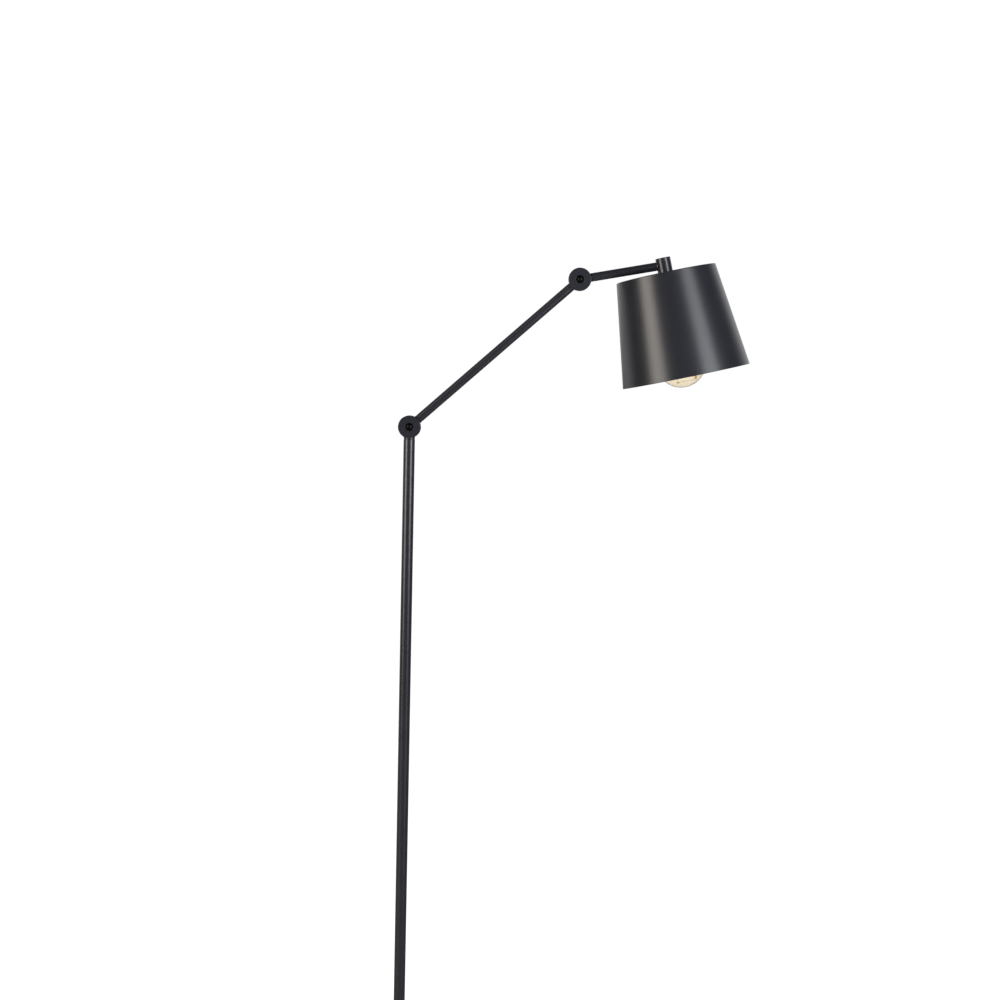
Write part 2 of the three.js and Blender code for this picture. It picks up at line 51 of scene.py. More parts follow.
JOINT = {j["name"]: j for j in frame["joints"]}
K1 = Vector(JOINT["knuckle_1_hinge"]["pos_m"]) * 1000
K2 = Vector(JOINT["knuckle_2_hinge"]["pos_m"]) * 1000
LOWER_ARM = (K2 - K1).length
LOWER_ANGLE = math.degrees(math.atan2(K2.z - K1.z, K2.x - K1.x))
UPPER_ANGLE = 10.6
UPPER_ARM = 119.1
HEAD_CANT = 2.2
HOLDER_CANT = 1.5
HANG = 18.3  # top of the lampholder, below the upper arm's axis


def move(x=0.0, y=0.0, z=0.0):
    return Matrix.Translation((x, y, z))


def turn(degrees, axis):
    return Matrix.Rotation(math.radians(degrees), 4, axis)


F_STAND = Matrix.Identity(4)
F_KNUCKLE_1 = move(*K1) @ turn(90, "Y")  # +X down the pole
F_LOWER = move(*K1) @ turn(-LOWER_ANGLE, "Y")  # +X along the lower arm
F_KNUCKLE_2 = F_LOWER @ move(LOWER_ARM) @ turn(180, "Y")  # +X back down the lower arm
F_UPPER = F_LOWER @ move(LOWER_ARM) @ turn(LOWER_ANGLE - UPPER_ANGLE, "Y")
F_HEAD = F_UPPER @ move(UPPER_ARM) @ turn(-HEAD_CANT, "Y")  # +Z up the hub
F_HOLDER = F_HEAD @ move(0, 0, -HANG) @ turn(HOLDER_CANT, "Y")

ALONG_X = turn(90, "Y")  # Z turns into X
ALONG_Y = turn(-90, "X")  # Z turns into Y

# ---------------------------------------------------------------- mesh helpers (millimetres until finished)


def rounded(points, closed, step=11):
    """A profile of (r, z) or (r, z, radius): each corner with a radius becomes an arc."""
    out, n = [], len(points)
    for i, p in enumerate(points):
        radius = p[2] if len(p) > 2 else 0
        if radius <= 0 or (not closed and i in (0, n - 1)):
            out.append((p[0], p[1]))
            continue
        a, b, c = (
            Vector(points[i - 1][:2]),
            Vector(p[:2]),
            Vector(points[(i + 1) % n][:2]),
        )
        u, v = (a - b).normalized(), (c - b).normalized()
        half = u.angle(v) / 2
        reach = min(
            radius / math.tan(half), 0.49 * (a - b).length, 0.49 * (c - b).length
        )
        r = reach * math.tan(half)
        centre = b + (u + v).normalized() * (r / math.sin(half))
        p0, p1 = b + u * reach - centre, b + v * reach - centre
        a0, a1 = math.atan2(p0.y, p0.x), math.atan2(p1.y, p1.x)
        d = (a1 - a0 + math.pi) % (2 * math.pi) - math.pi
        k = max(2, round(abs(math.degrees(d)) / step))
        for j in range(k + 1):
            w = a0 + d * j / k
            out.append((centre.x + r * math.cos(w), centre.y + r * math.sin(w)))
    return out


def lathe(profile, segments=128, place=Matrix.Identity(4)):
    """A closed solid of revolution about Z, as a bmesh."""
    closed = not (profile[0][0] == 0 and profile[-1][0] == 0)
    points = rounded(profile, closed)
    bm = bmesh.new()
    rings = []
    for r, z in points:
        if r < 1e-9:
            rings.append([bm.verts.new((0, 0, z))] * segments)
        else:
            rings.append(
                [
                    bm.verts.new(
                        (
                            r * math.cos(2 * math.pi * i / segments),
                            r * math.sin(2 * math.pi * i / segments),
                            z,
                        )
                    )
                    for i in range(segments)
                ]
            )
    pairs = list(zip(rings, rings[1:]))
    if closed:
        pairs.append((rings[-1], rings[0]))
    for a, b in pairs:
        for i in range(segments):
            j = (i + 1) % segments
            corners = []
            for v in (a[i], a[j], b[j], b[i]):
                if v not in corners:
                    corners.append(v)
            if len(corners) > 2:
                bm.faces.new(corners)
    bmesh.ops.recalc_face_normals(bm, faces=bm.faces)
    bm.transform(place)
    return bm


def prism(sections, place=Matrix.Identity(4)):
    """A closed solid through sections of equal count, each (x, [(y, z), ...])."""
    bm = bmesh.new()
    rings = [[bm.verts.new((x, y, z)) for y, z in outline] for x, outline in sections]
    n = len(rings[0])
    for a, b in zip(rings, rings[1:]):
        for i in range(n):
            j = (i + 1) % n
            bm.faces.new((a[i], a[j], b[j], b[i]))
    bm.faces.new(rings[0])
    bm.faces.new(rings[-1])
    bmesh.ops.recalc_face_normals(bm, faces=bm.faces)
    bm.transform(place)
    return bm


def hexagon(flats, z0, z1, chamfer=0.0, place=Matrix.Identity(4), segments=96):
    """A hexagonal nut blank: a hexagonal prism with its corners turned off by cones."""
    corner = flats / math.sqrt(3)
    hexa = prism(
        [
            (
                z,
                [
                    (
                        corner * math.cos(math.radians(60 * i)),
                        corner * math.sin(math.radians(60 * i)),
                    )
                    for i in range(6)
                ],
            )
            for z in (z0, z1)
        ],
        Matrix(((0, 1, 0, 0), (0, 0, 1, 0), (1, 0, 0, 0), (0, 0, 0, 1))),
    )
    if chamfer:
        rise = chamfer * math.tan(math.radians(30))
        cone = lathe(
            [
                (0, z0 - 1e-3),
                (corner - chamfer, z0 - 1e-3),
                (corner + 0.2, z0 + rise + 0.2 * math.tan(math.radians(30))),
                (corner + 0.2, z1 - rise - 0.2 * math.tan(math.radians(30))),
                (corner - chamfer, z1 + 1e-3),
                (0, z1 + 1e-3),
            ],
            segments,
        )
        hexa = boolean(hexa, cone, "INTERSECT")
    hexa.transform(place)
    return hexa


def bar(a, b, r0, r1=None, segments=16):
    """A round bar between two points, with rounded ends."""
    r1 = r0 if r1 is None else r1
    a, b = Vector(a), Vector(b)
    length = (b - a).length
    q = (b - a).to_track_quat("Z", "Y").to_matrix().to_4x4()
    return lathe(
        [(0, 0), (r0, 0, r0 * 0.6), (r1, length, r1 * 0.6), (0, length)],
        segments,
        move(*a) @ q,
    )


def sweep(points, radius, segments=12):
    """A round wire along points, closed at both ends."""
    pts = [Vector(p) for p in points]
    bm = bmesh.new()
    rings = []
    normal = None
    for i, p in enumerate(pts):
        t = (pts[min(i + 1, len(pts) - 1)] - pts[max(i - 1, 0)]).normalized()
        if normal is None:
            normal = t.orthogonal().normalized()
        normal = (normal - t * normal.dot(t)).normalized()
        side = t.cross(normal)
        rings.append(
            [
                bm.verts.new(
                    p
                    + radius
                    * (
                        normal * math.cos(2 * math.pi * k / segments)
                        + side * math.sin(2 * math.pi * k / segments)
                    )
                )
                for k in range(segments)
            ]
        )
    for a, b in zip(rings, rings[1:]):
        for i in range(segments):
            j = (i + 1) % segments
            bm.faces.new((a[i], a[j], b[j], b[i]))
    bm.faces.new(rings[0])
    bm.faces.new(rings[-1])
    bmesh.ops.recalc_face_normals(bm, faces=bm.faces)
    return bm


def boolean(target, tool, operation):
    """target and tool are bmeshes; both are used up. Returns the result as a new bmesh."""
    made = []
    for bm in (target, tool):
        mesh = bpy.data.meshes.new("scratch")
        bm.to_mesh(mesh)
        bm.free()
        o = bpy.data.objects.new("scratch", mesh)
        scene.collection.objects.link(o)
        made.append(o)
    m = made[0].modifiers.new("cut", "BOOLEAN")
    m.operation, m.object, m.solver = operation, made[1], "EXACT"
    bpy.context.view_layer.update()
    result = made[0].evaluated_get(bpy.context.evaluated_depsgraph_get())
    bm = bmesh.new()
    bm.from_mesh(result.to_mesh())
    result.to_mesh_clear()
    for o in made:
        mesh = o.data
        bpy.data.objects.remove(o)
        bpy.data.meshes.remove(mesh)
    bmesh.ops.remove_doubles(bm, verts=bm.verts, dist=1e-4)
    bmesh.ops.dissolve_degenerate(bm, dist=1e-5, edges=bm.edges)
    return bm


def merge(*parts):
    """Several closed shells in one bmesh, side by side and not joined."""
    out = parts[0]
    for part in parts[1:]:
        mesh = bpy.data.meshes.new("scratch")
        part.to_mesh(mesh)
        part.free()
        out.from_mesh(mesh)
        bpy.data.meshes.remove(mesh)
    return out


def set_normals(mesh, sharp):
    """Custom normals: flat regions keep their plane's normal right up to their fillets, and curved ones are smooth."""
    n_faces, n_loops = len(mesh.polygons), len(mesh.loops)
    normal = np.zeros(n_faces * 3)
    mesh.polygons.foreach_get("normal", normal)
    normal = normal.reshape(-1, 3)
    area = np.zeros(n_faces)
    mesh.polygons.foreach_get("area", area)
    total = np.zeros(n_faces, int)
    mesh.polygons.foreach_get("loop_total", total)
    vert, edge = np.zeros(n_loops, int), np.zeros(n_loops, int)
    mesh.loops.foreach_get("vertex_index", vert)
    mesh.loops.foreach_get("edge_index", edge)
    co = np.zeros(len(mesh.vertices) * 3)
    mesh.vertices.foreach_get("co", co)
    co = co.reshape(-1, 3)
    face = np.repeat(np.arange(n_faces), total)

    # faces either side of each edge
    order = np.argsort(edge, kind="stable")
    e, f = edge[order], face[order]
    twin = np.nonzero(e[1:] == e[:-1])[0]
    a, b = f[twin], f[twin + 1]
    bend = np.degrees(
        np.arccos(np.clip(np.einsum("ij,ij->i", normal[a], normal[b]), -1, 1))
    )

    # coplanar regions
    label = np.arange(n_faces)
    same = bend < 0.3
    while True:
        before = label.copy()
        low = np.minimum(label[a[same]], label[b[same]])
        np.minimum.at(label, a[same], low)
        np.minimum.at(label, b[same], low)
        label = label[label]
        if (label == before).all():
            break
    region_area = np.bincount(label, weights=area, minlength=n_faces)
    lo, hi = np.full((n_faces, 3), 1e9), np.full((n_faces, 3), -1e9)
    np.minimum.at(lo, label[face], co[vert])
    np.maximum.at(hi, label[face], co[vert])
    width = region_area / np.maximum(np.linalg.norm(hi - lo, axis=1), 1e-9)
    curved = np.zeros(n_faces, bool)
    slight = (label[a] != label[b]) & (bend < 4.6)
    curved[label[a[slight]]] = True
    curved[label[b[slight]]] = True
    flat_region = ~curved & (width > 0.00035)
    plane = np.zeros((n_faces, 3))
    np.add.at(plane, label, normal * area[:, None])
    plane /= np.maximum(np.linalg.norm(plane, axis=1), 1e-20)[:, None]
    flat = flat_region[label]
    plane = plane[label]

    # one normal for each corner
    out = normal[face].copy()
    limit = math.cos(math.radians(sharp))
    order = np.argsort(vert, kind="stable")
    starts = np.searchsorted(vert[order], np.arange(len(co)))
    ends = np.searchsorted(vert[order], np.arange(len(co)), side="right")
    for count in np.unique(ends - starts):
        if count == 0:
            continue
        verts = np.nonzero(ends - starts == count)[0]
        step = max(1, 400000 // (count * count))
        for i in range(0, len(verts), step):
            some = verts[i : i + step]
            loops = order[starts[some][:, None] + np.arange(count)]
            around = face[loops]
            n = normal[around]
            close = np.einsum("vik,vjk->vij", n, n) > limit
            weight = close * area[around][:, None, :]
            smooth = np.einsum("vij,vjk->vik", weight, n)
            flats = close & flat[around][:, None, :]
            level = np.einsum(
                "vij,vjk->vik", flats * area[around][:, None, :], plane[around]
            )
            pick = np.where(flats.any(axis=2)[:, :, None], level, smooth)
            pick = np.where(flat[around][:, :, None], plane[around], pick)
            pick /= np.maximum(np.linalg.norm(pick, axis=2), 1e-20)[:, :, None]
            out[loops.ravel()] = pick.reshape(-1, 3)
    mesh.normals_split_custom_set(out.tolist())


def finish(bm, name, body, place, material, slot, *nodes, sharp=36):
    """Turns a bmesh in a group's millimetres into a finished piece in the row frame."""
    bm.transform(Matrix.Scale(MM, 4) @ place)
    bmesh.ops.recalc_face_normals(bm, faces=bm.faces)
    mesh = bpy.data.meshes.new(name)
    bm.to_mesh(mesh)
    bm.free()
    mesh.shade_smooth()
    set_normals(mesh, sharp)
    o = bpy.data.objects.new(name, mesh)
    scene.collection.objects.link(o)
    for m in material if isinstance(material, (list, tuple)) else [material]:
        mesh.materials.append(m)
    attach(o, body)
    if nodes:
        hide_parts(*nodes)
    return o


# ---------------------------------------------------------------- materials


class Nodes:
    """A material's node tree, built by name."""

    def __init__(self, name):
        self.material = bpy.data.materials.new(name)
        self.material.use_nodes = True
        self.tree = self.material.node_tree
        self.shader = self.tree.nodes["Principled BSDF"]
        self.output = self.tree.nodes["Material Output"]
        self.coords = self.tree.nodes.new("ShaderNodeTexCoord").outputs["Object"]

    def node(self, kind, **inputs):
        made = self.tree.nodes.new("ShaderNode" + kind)
        for key, value in inputs.items():
            socket = made.inputs[key.replace("_", " ")]
            if isinstance(value, bpy.types.NodeSocket):
                self.tree.links.new(value, socket)
            else:
                socket.default_value = value
        return made

    def noise(self, scale, detail=3.0, rough=0.5, vector=None):
        made = self.node(
            "TexNoise",
            Vector=vector or self.coords,
            Scale=scale,
            Detail=detail,
            Roughness=rough,
        )
        return made.outputs["Fac"]

    def span(self, value, low, high, to_low, to_high):
        made = self.node("MapRange", Value=value)
        made.interpolation_type = "SMOOTHERSTEP"
        for socket, v in zip(
            ("From Min", "From Max", "To Min", "To Max"), (low, high, to_low, to_high)
        ):
            made.inputs[socket].default_value = v
        return made.outputs["Result"]

    def ramp(self, value, stops):
        made = self.node("ValToRGB", Fac=value)
        ramp = made.color_ramp
        ramp.interpolation = "EASE"
        while len(ramp.elements) < len(stops):
            ramp.elements.new(0.5)
        for element, (at, colour) in zip(ramp.elements, stops):
            element.position, element.color = at, (*colour, 1)
        return made.outputs["Color"]

    def bump(self, height, distance, strength=1.0, normal=None):
        made = self.node("Bump", Height=height)
        made.inputs["Distance"].default_value = distance
        made.inputs["Strength"].default_value = strength
        if normal is not None:
            self.tree.links.new(normal, made.inputs["Normal"])
        return made.outputs["Normal"]

    def stretched(self, x, y, z):
        made = self.node("Mapping", Vector=self.coords)
        made.inputs["Scale"].default_value = (x, y, z)
        return made.outputs["Vector"]

    def set(self, **inputs):
        for key, value in inputs.items():
            socket = self.shader.inputs[key.replace("_", " ")]
            if isinstance(value, bpy.types.NodeSocket):
                self.tree.links.new(value, socket)
            else:
                socket.default_value = value
        return self.material


def shaded(colour, k):
    return tuple(c * k for c in colour)


def powder_coat(name, colour, rough):
    """Satin powder coat: fine orange peel, a fine grain and a trace of cloudiness in its colour."""
    n = Nodes(name)
    cloud = n.noise(38, 3)
    grain = n.noise(1500, 2)
    peel = n.noise(620, 2, 0.45)
    colours = n.ramp(cloud, [(0.1, shaded(colour, 0.86)), (0.9, shaded(colour, 1.14))])
    mixed = n.node("Mix", Factor=0.0)
    mixed.data_type = "RGBA"
    mixed.blend_type = "MULTIPLY"
    mixed.inputs[0].default_value = 1.0
    n.tree.links.new(colours, mixed.inputs[6])
    n.tree.links.new(
        n.ramp(grain, [(0.35, (0.93,) * 3), (0.65, (1.0,) * 3)]), mixed.inputs[7]
    )
    normal = n.bump(peel, 0.000006, 0.5)
    normal = n.bump(grain, 0.000002, 0.5, normal)
    return n.set(
        Base_Color=mixed.outputs[2],
        Roughness=rough,
        Normal=normal,
    )


def metal(name, colour, rough, stretch=(1, 1, 1), scale=900, metallic=1.0):
    """Machined or plated metal: fine lines along the tool's path and a little tarnish."""
    n = Nodes(name)
    lines = n.noise(scale, 3, 0.6, n.stretched(*stretch))
    cloud = n.noise(120, 3)
    return n.set(
        Base_Color=n.ramp(
            cloud, [(0.3, shaded(colour, 0.82)), (0.72, shaded(colour, 1.08))]
        ),
        Metallic=metallic,
        Roughness=n.span(lines, 0.3, 0.7, rough - 0.06, rough + 0.08),
        Normal=n.bump(lines, 0.000008, 0.6),
    )


def moulded(name, colour, rough, bump=0.00001, scale=700):
    """Moulded plastic, rubber or fibre: fine stipple and slight cloudiness."""
    n = Nodes(name)
    stipple = n.noise(scale, 3, 0.6)
    cloud = n.noise(90, 2)
    return n.set(
        Base_Color=n.ramp(
            cloud, [(0.3, shaded(colour, 0.85)), (0.7, shaded(colour, 1.12))]
        ),
        Roughness=n.span(stipple, 0.3, 0.7, rough - 0.05, rough + 0.06),
        Normal=n.bump(stipple, bump, 0.6),
    )


def felt(name, colour):
    """Pressed felt: matted fibres of slightly different greys."""
    n = Nodes(name)
    fibres = n.noise(1400, 6, 0.75, n.stretched(1, 1, 0.4))
    mat = n.noise(240, 4, 0.6)
    height = n.node("Math")
    height.operation = "ADD"
    n.tree.links.new(fibres, height.inputs[0])
    n.tree.links.new(mat, height.inputs[1])
    mixed = n.node("Mix", Factor=0.0)
    mixed.data_type = "RGBA"
    mixed.blend_type = "MULTIPLY"
    mixed.inputs[0].default_value = 1.0
    n.tree.links.new(
        n.ramp(fibres, [(0.25, shaded(colour, 0.5)), (0.75, shaded(colour, 1.9))]),
        mixed.inputs[6],
    )
    n.tree.links.new(
        n.ramp(n.noise(130, 5, 0.7), [(0.25, (0.6,) * 3), (0.75, (1.0,) * 3)]),
        mixed.inputs[7],
    )
    return n.set(
        Base_Color=mixed.outputs[2],
        Roughness=n.span(mat, 0.3, 0.7, 0.9, 1.0),
        Sheen_Weight=0.25,
        Normal=n.bump(height.outputs[0], 0.00025, 0.7),
    )


def cast(name, colour):
    """Raw casting: sandy skin with small pits."""
    n = Nodes(name)
    sand = n.noise(420, 5, 0.65)
    cloud = n.noise(22, 3)
    return n.set(
        Base_Color=n.ramp(
            cloud, [(0.3, shaded(colour, 0.7)), (0.7, shaded(colour, 1.25))]
        ),
        Metallic=0.4,
        Roughness=n.span(sand, 0.3, 0.7, 0.62, 0.85),
        Normal=n.bump(sand, 0.00015, 0.8),
    )


def glass(name, tint):
    """Clear lamp glass, faintly amber, a little uneven in tint and surface."""
    n = Nodes(name)
    wave = n.noise(26, 2)
    return n.set(
        Base_Color=n.ramp(
            wave, [(0.3, tint), (0.7, tuple(min(1.0, c * 1.015) for c in tint))]
        ),
        Roughness=0.0,
        IOR=1.4,
        Transmission_Weight=1.0,
        Normal=n.bump(wave, 0.0002, 0.15),
    )


# The foot, pole, knuckles, arms and hub wear the shade's anthracite painted lighter in colour: painted light standing
# in for light these parts catch too little of.
LIGHTENED_PAINT = powder_coat("satin_anthracite", (0.0225, 0.0235, 0.0305), 0.28)
SHADE_PAINT = powder_coat("satin_anthracite_shade", (0.0172, 0.0182, 0.0245), 0.32)
INSIDE_WHITE = powder_coat("satin_white_inside", (0.7, 0.68, 0.63), 0.45)
ZINC = metal("zinc_plate", (0.46, 0.46, 0.47), 0.34)
BLACK_OXIDE = metal("black_oxide", (0.015, 0.0147, 0.0144), 0.4, metallic=0.9)
BRASS = metal("pressed_brass", (0.62, 0.44, 0.17), 0.3, (1, 1, 6))
CAP_METAL = metal("cap_metal", (0.62, 0.5, 0.28), 0.28, (1, 1, 6))
IRON = cast("cast_iron", (0.1, 0.098, 0.095))
FELT = felt("grey_felt", (0.035, 0.035, 0.037))
RUBBER = moulded("moulded_rubber", (0.018, 0.018, 0.018), 0.62, 0.00002, 500)
FIBRE = moulded("friction_fibre", (0.06, 0.05, 0.042), 0.8, 0.00006, 900)
THERMOSET = moulded("black_thermoset", (0.016, 0.016, 0.017), 0.38)
SLEEVE = moulded("silicone_sleeve", (0.05, 0.05, 0.052), 0.55)
CERAMIC = moulded("unglazed_ceramic", (0.72, 0.69, 0.62), 0.6, 0.00003, 900)
BULB_GLASS = glass("amber_clear_glass", (0.965, 0.9, 0.775))
STEM_GLASS = glass("stem_glass", (0.98, 0.96, 0.9))
PHOSPHOR = moulded("filament_phosphor", (0.88, 0.6, 0.19), 0.6, 0.00002, 1200)
WIRE = metal("filament_wire", (0.5, 0.36, 0.18), 0.42)

# ---------------------------------------------------------------- foot

NIPPLE_HOLE = 5.22
FOOT_R, FOOT_H, COVER_T = 129.99, 18.0, 1.2
finish(
    boolean(
        lathe(
            [
                (NIPPLE_HOLE, FOOT_H - COVER_T),
                (FOOT_R - 5.4, FOOT_H - COVER_T, 2.0),
                (FOOT_R - COVER_T, FOOT_H - 6.2, 2.0),
                (FOOT_R - COVER_T, 1.0, 0.3),
                (FOOT_R, 1.0, 0.3),
                (FOOT_R, FOOT_H, 4.6),
                (NIPPLE_HOLE, FOOT_H),
            ],
            256,
        ),
        lathe([(0, 100), (4.1, 100), (4.1, 140), (0, 140)], 48, move(0, 0, 7) @ ALONG_Y),
        "DIFFERENCE",
    ),
    "foot_cover",
    "stand",
    F_STAND,
    LIGHTENED_PAINT,
    "paint",
    "base_cover",
)
finish(
    lathe([(0, 0.01), (122, 0.01, 0.8), (122, 2.4, 0.6), (0, 2.4)], 192),
    "foot_felt",
    "stand",
    F_STAND,
    FELT,
    "felt",
    "base_pad",
)
finish(
    lathe(
        [
            (2.6, FOOT_R - 5.4, 0.3),
            (5.4, FOOT_R - 5.4, 0.5),
            (5.4, FOOT_R - COVER_T - 0.5, 0.5),
            (3.8, FOOT_R - COVER_T - 0.5, 0.2),
            (3.8, FOOT_R + 0.5, 0.2),
            (5.4, FOOT_R + 0.5, 0.4),
            (4.7, FOOT_R + 2.2, 0.7),
            (2.6, FOOT_R + 2.2, 0.5),
        ],
        72,
        move(0, 0, 7) @ ALONG_Y,
    ),
    "cord_grommet",
    "stand",
    F_STAND,
    RUBBER,
    "rubber",
    "base_gland",
)
POLE_FOOT_TOP = FOOT_H + 0.3 + 5
finish(
    lathe(
        [
            (5.1, FOOT_H + 0.3),
            (12, FOOT_H + 0.3, 0.25),
            (12, POLE_FOOT_TOP, 1.1),
            (6.2, POLE_FOOT_TOP, 0.1),
            (6.2, POLE_FOOT_TOP + 15, 0.4),
            (5.1, POLE_FOOT_TOP + 15),
        ],
        112,
    ),
    "pole_flange",
    "stand",
    F_STAND,
    LIGHTENED_PAINT,
    "paint",
    "pole_foot",
)

# ---------------------------------------------------------------- pole

POLE_R, POLE_WALL = 8.0, 1.5
COUPLER_Z, BAND = 936.5, 8.7
POLE_START, ARM_START, FLANGE_START = 17.4, 18.4, 16.6


def tube(r, wall, z0, z1, place=Matrix.Identity(4), edge=0.25, segments=128):
    return lathe(
        [(r - wall, z0, 0.15), (r, z0, edge), (r, z1, edge), (r - wall, z1, 0.15)],
        segments,
        place,
    )


finish(
    tube(POLE_R, POLE_WALL, POLE_FOOT_TOP + 0.3, COUPLER_Z - BAND / 2 - 0.3),
    "pole_lower_tube",
    "stand",
    F_STAND,
    LIGHTENED_PAINT,
    "paint",
    "lower_pole",
)
finish(
    lathe(
        [
            (3.5, COUPLER_Z - 22, 0.2),
            (6.2, COUPLER_Z - 22, 0.5),
            (6.2, COUPLER_Z - BAND / 2, 0.1),
            (POLE_R, COUPLER_Z - BAND / 2, 0.35),
            (POLE_R, COUPLER_Z + BAND / 2, 0.35),
            (6.2, COUPLER_Z + BAND / 2, 0.1),
            (6.2, COUPLER_Z + 22, 0.5),
            (3.5, COUPLER_Z + 22, 0.2),
        ],
        128,
    ),
    "pole_joiner",
    "stand",
    F_STAND,
    LIGHTENED_PAINT,
    "paint",
    "pole_coupler",
)
finish(
    tube(POLE_R, POLE_WALL, COUPLER_Z + BAND / 2 + 0.3, K1.z - POLE_START - 0.3),
    "pole_upper_tube",
    "stand",
    F_STAND,
    LIGHTENED_PAINT,
    "paint",
    "upper_pole",
)

# ---------------------------------------------------------------- knuckles

DISC_R, HALF_T, LAND, BOSS = 16.0, 8.0, 0.15, 0.6
STOP_R = 13.4


def arc_slot(r0, r1, start, end, y0, y1, side):
    """A cutter bent round the Y axis; angles run from +X towards +Z."""
    n = 40
    bm = bmesh.new()
    rings = []
    for i in range(n + 1):
        w = math.radians(start + (end - start) * i / n)
        rings.append(
            [
                bm.verts.new((r * math.cos(w), side * y, r * math.sin(w)))
                for r, y in ((r0, y0), (r1, y0), (r1, y1), (r0, y1))
            ]
        )
    for a, b in zip(rings, rings[1:]):
        for i in range(4):
            j = (i + 1) % 4
            bm.faces.new((a[i], a[j], b[j], b[i]))
    bm.faces.new(rings[0])
    bm.faces.new(rings[-1])
    bmesh.ops.recalc_face_normals(bm, faces=bm.faces)
    return bm


def knuckle_half(bar_r, wall, start, side, groove=None, pin=None):
    """One half of a knuckle, its bar leaving along +X. side is +1 for the rear half and -1 for the front."""
    y_axis = turn(-90 * side, "X")  # Z turns into side * Y
    pocket = 3.0 if side > 0 else 3.9
    half = lathe(
        [
            (2.8, BOSS),
            (7.2, BOSS, 0.2),
            (7.2, 5.6, 0.6),
            (11.2, 5.6, 0.6),
            (11.2, LAND, 0.2),
            (DISC_R, LAND, 0.3),
            (DISC_R, HALF_T, 1.1),
            (6.3, HALF_T, 0.15),
            (5.9, HALF_T - 0.4, 0.15),
            (5.9, pocket, 0.3),
            (2.8, pocket, 0.15),
        ],
        160,
        y_axis,
    )
    deep = min(HALF_T - 0.02, bar_r)  # the neck's face, level with the bar's front
    neck = rounded(
        [
            (LAND, -bar_r),
            (deep, -bar_r, 0.5),
            (deep, bar_r, 0.5),
            (LAND, bar_r),
        ],
        True,
    )
    block = prism(
        [
            (x, [(side * y, z) for y, z in neck])
            for x in (11.8, FLANGE_START + 0.2)
        ]
    )
    round_bar = lathe(
        [(0, 9), (bar_r - 0.04, 9), (bar_r - 0.04, FLANGE_START + 2), (0, FLANGE_START + 2)],
        128,
        ALONG_X,
    )
    half = boolean(half, boolean(block, round_bar, "INTERSECT"), "UNION")
    half = boolean(
        half,
        lathe(
            [
                (0, FLANGE_START),
                (bar_r, FLANGE_START, 0.15),
                (bar_r, start, 0.25),
                (bar_r - wall - 0.3, start, 0.05),
                (bar_r - wall - 0.3, start + 14, 0.5),
                (0, start + 14),
            ],
            128,
            ALONG_X,
        ),
        "UNION",
    )
    cutters = [
        bar((start + 16, -0.15 * side, 0), (8.8, 3.55 * side, 0), 2.2, segments=48)
    ]
    if groove:
        cutters.append(
            arc_slot(STOP_R - 1.25, STOP_R + 1.25, groove[0], groove[1], -0.1, 3.3, side)
        )
    if pin is not None:
        w = math.radians(pin)
        cutters.append(
            lathe(
                [(0, -1), (1.3, -1), (1.3, 3.8), (0, 3.8)],
                48,
                move(STOP_R * math.cos(w), 0, STOP_R * math.sin(w)) @ y_axis,
            )
        )
    for c in cutters:
        half = boolean(half, c, "DIFFERENCE")
    return half


def travel(joint):
    return JOINT[joint]["range_deg"]


PIN_1_WORLD, PIN_2_WORLD, GROOVE_MARGIN = 310, 180, 6.2
pin_in_arm = PIN_1_WORLD - LOWER_ANGLE
finish(
    knuckle_half(POLE_R, POLE_WALL, POLE_START, -1, pin=PIN_1_WORLD + 90),
    "knuckle_1_front",
    "stand",
    F_KNUCKLE_1,
    LIGHTENED_PAINT,
    "paint",
    "knuckle_1_pole_half",
)
finish(
    knuckle_half(
        6.0,
        1.0,
        ARM_START,
        1,
        groove=(
            pin_in_arm + travel("knuckle_1_hinge")[0] - GROOVE_MARGIN,
            pin_in_arm + travel("knuckle_1_hinge")[1] + GROOVE_MARGIN,
        ),
    ),
    "knuckle_1_rear",
    "lower_arm",
    F_LOWER,
    LIGHTENED_PAINT,
    "paint",
    "knuckle_1_arm_half",
)
finish(
    knuckle_half(
        6.0, 1.0, ARM_START, -1, pin=PIN_2_WORLD - (LOWER_ANGLE + 180)
    ),
    "knuckle_2_front",
    "lower_arm",
    F_KNUCKLE_2,
    LIGHTENED_PAINT,
    "paint",
    "knuckle_2_lower_half",
)
pin_in_arm = PIN_2_WORLD - UPPER_ANGLE
finish(
    knuckle_half(
        6.0,
        1.0,
        ARM_START,
        1,
        groove=(
            pin_in_arm + travel("knuckle_2_hinge")[0] - GROOVE_MARGIN,
            pin_in_arm + travel("knuckle_2_hinge")[1] + GROOVE_MARGIN,
        ),
    ),
    "knuckle_2_rear",
    "head",
    F_UPPER,
    LIGHTENED_PAINT,
    "paint",
    "knuckle_2_upper_half",
)


def button_screw():
    """Socket button-head screw, its head towards -Y."""
    seat, rise, dome = -4.2, 2.75, 5.7
    profile = [(0, seat - rise)]
    for i in range(13):
        w = math.radians(4.5 * i)
        profile.append(
            (max(dome * math.sin(w), 0.0), seat - rise + dome * (1 - math.cos(w)) )
        )
    profile = [p for p in profile if p[0] < 4.62]
    profile = [profile[0]] + profile[2:]
    last = profile[-1]
    profile += [
        (4.75, last[1] + 0.25),
        (4.75, seat, 0.15),
        (2.5, seat),
        (2.5, 7.0),
        (2.2, 7.4),
        (0, 7.4),
    ]
    screw = lathe(profile, 96, ALONG_Y)
    socket = hexagon(3.0, seat - rise - 1, seat - rise + 1.6)
    socket.transform(ALONG_Y)
    screw = boolean(screw, socket, "DIFFERENCE")
    countersink = lathe(
        [
            (0, seat - rise - 0.2),
            (2.0, seat - rise - 0.2),
            (1.6, seat - rise + 0.12),
            (0, seat - rise + 0.12),
        ],
        64,
        ALONG_Y,
    )
    return boolean(screw, countersink, "DIFFERENCE")


